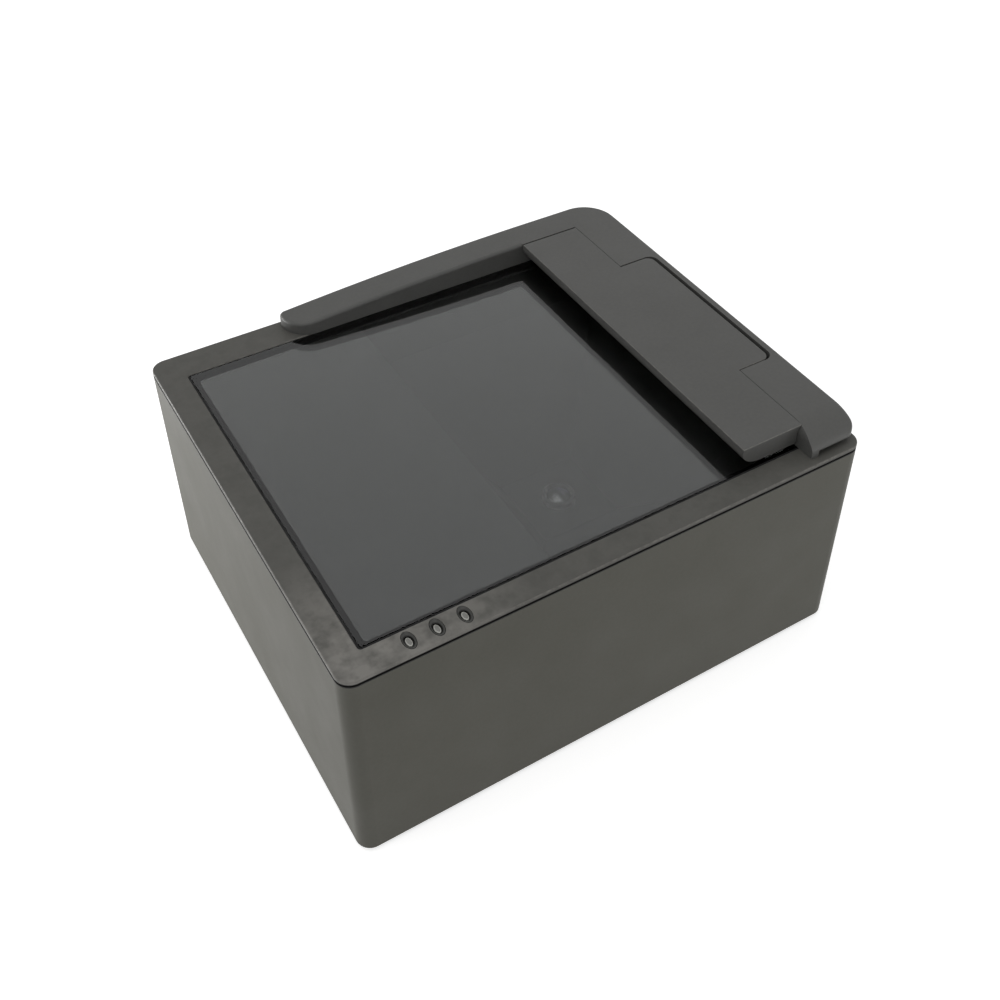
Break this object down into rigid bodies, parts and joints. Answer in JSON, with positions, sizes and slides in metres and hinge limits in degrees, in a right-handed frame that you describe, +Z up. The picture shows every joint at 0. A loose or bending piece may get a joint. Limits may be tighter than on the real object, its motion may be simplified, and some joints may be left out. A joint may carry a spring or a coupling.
{
  "type": "passport reader",
  "caption": "Counter passport reader: dark box case, glass reading window, low L-shaped hood and a sprung flap that presses the open page onto the glass.",
  "frame": {"origin": "on the counter, under the middle of the case", "axes": "+X to the right along the front, +Y to the back, +Z up"},
  "size_m": [0.1836, 0.155, 0.092],
  "materials": {
    "case_walls": "fine satin texture",
    "deck_plastic": "fine satin texture",
    "hood_plastic": "fine satin texture",
    "flap_plastic": "fine satin texture",
    "underplate_plastic": "matte",
    "base_plastic": "matte",
    "socket_trim": "matte",
    "pad_rubber": "soft matte",
    "gasket_rubber": "soft matte",
    "foot_rubber": "soft matte",
    "window_glass": "clear, polished",
    "lens_glass": "coated",
    "frame_plastic": "matte black",
    "light_box_plastic": "matte black",
    "diffuser_plastic": "milky",
    "bezel_plastic": "satin dark grey",
    "pipe_plastic": "frosted",
    "light_board": "white solder mask",
    "circuit_board": "green solder mask",
    "emitter": "small lamp chips",
    "chip": "moulded black",
    "lens_plastic": "matte black",
    "copper": "bare copper",
    "sink_aluminium": "anodised",
    "can_aluminium": "bright",
    "buzzer_plastic": "moulded black",
    "plug_plastic": "ivory",
    "socket_steel": "plated",
    "tongue_plastic": "white",
    "lead_film": "amber film",
    "screw_steel": "zinc plated",
    "pin_steel": "ground",
    "spring_steel": "drawn wire"
  },
  "bodies": {
    "case": {"wall_shell": "case_walls", "base_plate": "base_plastic", "deck_plate": "deck_plastic", "window_frame": "frame_plastic", "glass_gasket": "gasket_rubber", "glass_window": "window_glass", "hood_shell": "hood_plastic", "hinge_pin_front": "pin_steel", "hinge_pin_rear": "pin_steel", "flap_spring_front": "spring_steel", "flap_spring_rear": "spring_steel", "indicator_board": "circuit_board", "indicator_emitters": "emitter", "light_box": "light_box_plastic", "light_board_left": "light_board", "light_board_right": "light_board", "light_emitters_left": "emitter", "light_emitters_right": "emitter", "diffuser_left": "diffuser_plastic", "diffuser_right": "diffuser_plastic", "camera_board": "circuit_board", "image_sensor": "chip", "lens_holder": "lens_plastic", "lens_barrel": "lens_plastic", "lens_glass": "lens_glass", "antenna_board": "circuit_board", "antenna_coil": "copper", "main_board": "circuit_board", "processor_chip": "chip", "heat_sink": "sink_aluminium", "memory_chips": "chip", "capacitors": "can_aluminium", "buzzer": "buzzer_plastic", "board_plugs": "plug_plastic", "usb_socket": "socket_steel", "usb_tongue": "tongue_plastic", "socket_surround": "socket_trim", "camera_lead": "lead_film", "indicator_lead": "lead_film", "antenna_lead": "lead_film", "rubber_feet": "foot_rubber", "case_screws": "screw_steel", "frame_screws": "screw_steel", "light_box_screws": "screw_steel", "antenna_screws": "screw_steel", "board_screws": "screw_steel", "hood_screws": "screw_steel", "indicator_screws": "screw_steel", "indicator_bezel_1": "bezel_plastic", "light_pipe_1": "pipe_plastic", "indicator_bezel_2": "bezel_plastic", "light_pipe_2": "pipe_plastic", "indicator_bezel_3": "bezel_plastic", "light_pipe_3": "pipe_plastic"},
    "flap": {"press_flap": "flap_plastic", "flap_underplate": "underplate_plastic", "flap_pad": "pad_rubber", "flap_screws": "screw_steel"}
  },
  "joints": [
    {"name": "flap_hinge", "type": "hinge", "parent": "case", "child": "flap", "pos_m": [0.07715, -0.001, 0.0884], "axis": [0, 1, 0], "range_deg": [0, 15], "stiffness_Nm_per_rad": 0.02, "springref_deg": -60.16, "deforming": ["flap_spring_front", "flap_spring_rear"]}
  ]
}
